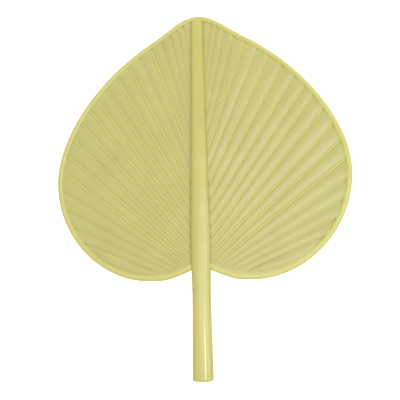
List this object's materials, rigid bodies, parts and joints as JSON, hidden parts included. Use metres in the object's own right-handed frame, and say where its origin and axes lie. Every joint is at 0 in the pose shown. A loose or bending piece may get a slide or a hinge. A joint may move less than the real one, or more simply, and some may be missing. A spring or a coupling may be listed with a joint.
{
  "type": "palm leaf fan",
  "caption": "Flat heart-shaped hand fan of pale yellow plastic, formed like a pleated palm leaf, with a round rim, thin raised ribs and an oval handle that runs on as the midrib.",
  "frame": {"origin": "under the middle of the fan's bounding box, on the surface that it lies on", "axes": "+Y from the handle's end to the leaf's tip, +Z out of the front of the leaf, +X to the right of the front"},
  "size_m": [0.2994, 0.3689, 0.0132],
  "materials": {
    "stem_plastic": "glossy, pale yellow",
    "rim_plastic": "glossy, pale yellow",
    "leaf_plastic": "semi-gloss, pale yellow",
    "rib_plastic": "semi-gloss, pale yellow"
  },
  "bodies": {
    "root": {"stem": "stem_plastic", "rim": "rim_plastic", "right_leaf": "leaf_plastic", "left_leaf": "leaf_plastic", "right_rib_01": "rib_plastic", "left_rib_01": "rib_plastic", "right_rib_02": "rib_plastic", "left_rib_02": "rib_plastic", "right_rib_03": "rib_plastic", "left_rib_03": "rib_plastic", "right_rib_04": "rib_plastic", "left_rib_04": "rib_plastic", "right_rib_05": "rib_plastic", "left_rib_05": "rib_plastic", "right_rib_06": "rib_plastic", "left_rib_06": "rib_plastic", "right_rib_07": "rib_plastic", "left_rib_07": "rib_plastic", "right_rib_08": "rib_plastic", "left_rib_08": "rib_plastic", "right_rib_09": "rib_plastic", "left_rib_09": "rib_plastic", "right_rib_10": "rib_plastic", "left_rib_10": "rib_plastic"}
  },
  "joints": []
}
